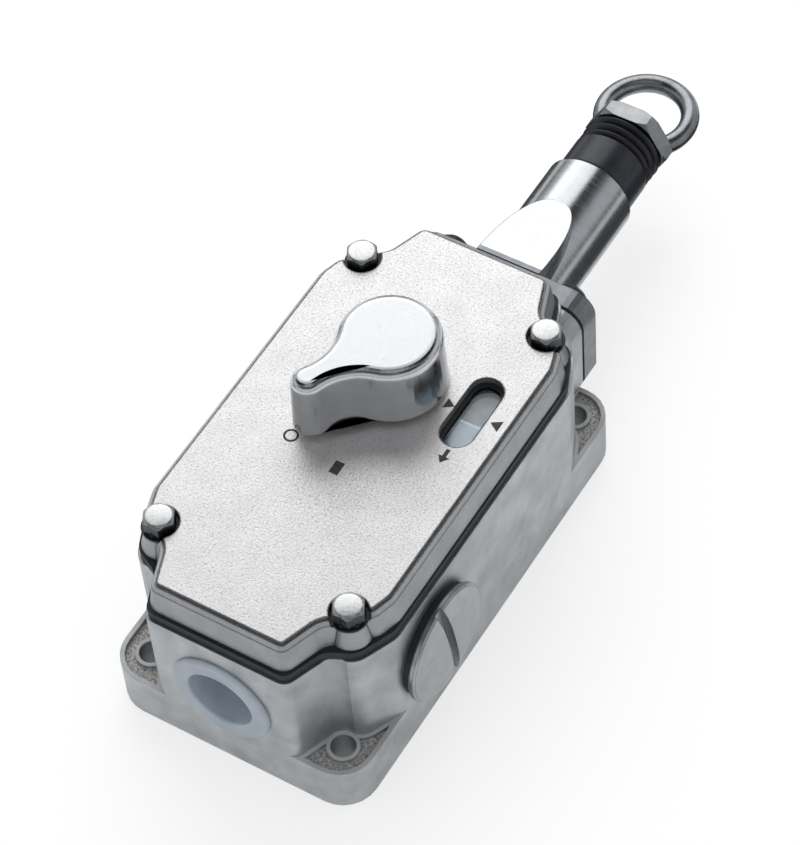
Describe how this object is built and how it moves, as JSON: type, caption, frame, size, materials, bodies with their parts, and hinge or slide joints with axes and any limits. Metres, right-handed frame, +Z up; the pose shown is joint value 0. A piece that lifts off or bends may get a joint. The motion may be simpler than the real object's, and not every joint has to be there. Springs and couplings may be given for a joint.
{
  "type": "rope pull switch",
  "caption": "Rope pull emergency stop switch: cast housing with gasketed lid, sprung rope eye, contact block, indicator window and three-position reset knob.",
  "frame": {"origin": "centre of the four mounting holes, on the underside of the base", "axes": "+X is the way the rope pulls, out of the eye; +Z is up through the lid; +Y is the side away from the window"},
  "size_m": [0.1961, 0.0714, 0.0667],
  "materials": {
    "cast_stainless": "investment cast and bead blasted, matte",
    "lid_stainless": "cast and bead blasted, fine grain",
    "turned_stainless": "turned, satin",
    "polished_stainless": "tumbled and polished",
    "screw_stainless": "cold headed, bright",
    "black_steel": "black oxide",
    "black_rubber": "moulded, matte",
    "black_acetal": "turned, satin",
    "bellows_rubber": "moulded, satin",
    "clear_window": "clear polycarbonate",
    "zinc_steel": "pressed steel, zinc plated",
    "yellow_steel": "pressed steel, yellow passivated",
    "spring_steel": "spring steel, oiled",
    "flag_enamel": "pressed steel, enamelled",
    "ivory_nylon": "moulded, glass filled",
    "red_nylon": "moulded",
    "plated_brass": "stamped",
    "cap_polythene": "moulded polythene, waxy and slightly see-through"
  },
  "bodies": {
    "body": {"housing": "cast_stainless", "lid": "lid_stainless", "tube_housing": "turned_stainless", "lid_screws": "screw_stainless", "lid_screw_washers": "screw_stainless", "tube_screws": "black_steel", "plug_right": "turned_stainless", "plug_left": "turned_stainless", "lid_gasket": "black_rubber", "window_seal": "black_rubber", "tube_gasket": "black_rubber", "shaft_wiper": "black_rubber", "plug_seal_right": "black_rubber", "plug_seal_left": "black_rubber", "front_bush": "black_acetal", "bellows": "bellows_rubber", "window_lens": "clear_window", "window_retainer": "zinc_steel", "main_spring": "spring_steel", "spring_washer": "zinc_steel", "contact_block": "ivory_nylon", "terminal_clamps": "plated_brass", "terminal_screws": "zinc_steel", "block_screws": "zinc_steel", "chassis": "zinc_steel", "chassis_screws": "zinc_steel", "earth_clamp": "plated_brass", "earth_screw": "zinc_steel", "transit_cap": "cap_polythene"},
    "shaft": {"rope_shaft": "turned_stainless", "rope_eye": "polished_stainless", "eye_lock_nut": "polished_stainless", "cone_sleeve": "zinc_steel", "sleeve_pin": "spring_steel", "indicator_flag": "flag_enamel", "spring_cup": "zinc_steel", "cup_circlip": "spring_steel"},
    "knob": {"reset_knob": "polished_stainless", "knob_shaft": "turned_stainless", "knob_seal": "black_rubber", "knob_circlip": "spring_steel", "knob_grub_screw": "black_steel", "reset_cam": "zinc_steel"},
    "latch": {"latch_slide": "yellow_steel"},
    "plungers": {"contact_plungers": "red_nylon"}
  },
  "joints": [
    {"name": "rope_pull", "type": "slide", "parent": "body", "child": "shaft", "axis": [1, 0, 0], "range_m": [-0.002, 0.008], "stiffness_N_per_m": 4000, "deforming": ["bellows", "main_spring"]},
    {"name": "knob_turn", "type": "hinge", "parent": "body", "child": "knob", "pos_m": [0.0139, -0.0008, 0.052], "axis": [0, 0, 1], "range_deg": [-60, 30]},
    {"name": "latch_move", "type": "slide", "parent": "body", "child": "latch", "axis": [0, 1, 0], "range_m": [-0.00295, 0.0015]},
    {"name": "plunger_push", "type": "slide", "parent": "body", "child": "plungers", "axis": [0, 1, 0], "range_m": [-0.00055, 0.00205]}
  ],
  "couplings": [
    {"joint": "latch_move", "follows": "knob_turn", "m_per_rad": 0.00279},
    {"joint": "plunger_push", "follows": "rope_pull", "ratio": 0.25}
  ]
}
